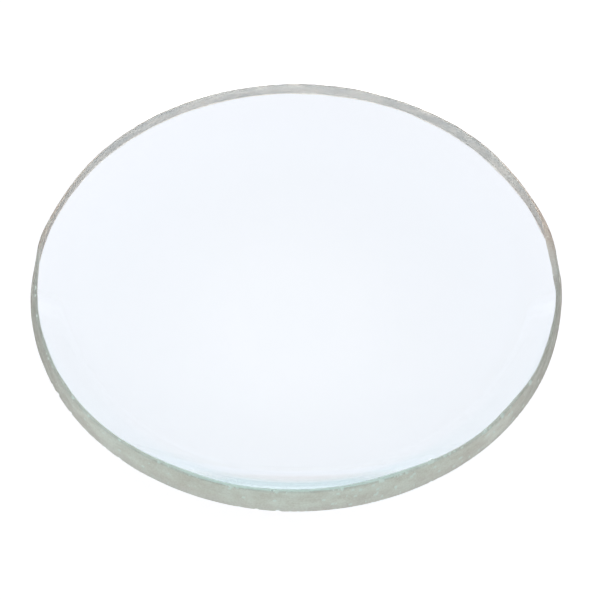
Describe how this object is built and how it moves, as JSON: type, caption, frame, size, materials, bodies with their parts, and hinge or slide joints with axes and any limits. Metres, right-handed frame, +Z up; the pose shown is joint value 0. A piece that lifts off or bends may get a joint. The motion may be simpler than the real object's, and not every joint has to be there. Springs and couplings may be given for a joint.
{
  "type": "watch glass",
  "caption": "Shallow round dish of clear glass with a domed underside and a ground, slightly leaning rim; it holds or covers small samples on a laboratory bench.",
  "frame": {"origin": "on the table, at the middle of the small resting flat under the dish", "axes": "+Z up along the dish's axis of revolution, with the hollow face up; X and Y are any two directions across the rim"},
  "size_m": [0.065, 0.065, 0.0125],
  "materials": {
    "clear_glass": "clear polished faces with a fine-ground grey-green rim"
  },
  "bodies": {
    "root": {"watch_glass": "clear_glass"}
  },
  "joints": []
}
